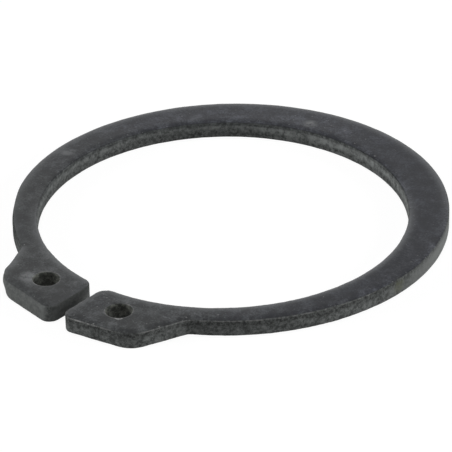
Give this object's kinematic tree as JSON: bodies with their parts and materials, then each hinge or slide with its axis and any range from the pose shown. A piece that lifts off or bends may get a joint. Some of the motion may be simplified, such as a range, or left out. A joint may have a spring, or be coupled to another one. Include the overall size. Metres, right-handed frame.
{
  "type": "retaining ring",
  "caption": "Flat C-shaped external retaining ring, tapering towards its gap, with a holed lug at each end for ring pliers. Snaps into a shaft's groove and holds what sits on the shaft.",
  "frame": {"origin": "centre of the inner circle, on the lower face that the ring lies on", "axes": "+Z along the ring's axis, away from the surface it lies on; the gap is towards -Y and the wide back of the band towards +Y"},
  "size_m": [0.0428, 0.0467, 0.0018],
  "materials": {
    "phosphated_steel": "matte dark grey phosphate, with tumbled edges a little brighter"
  },
  "bodies": {
    "root": {"retaining_ring": "phosphated_steel"}
  },
  "joints": []
}
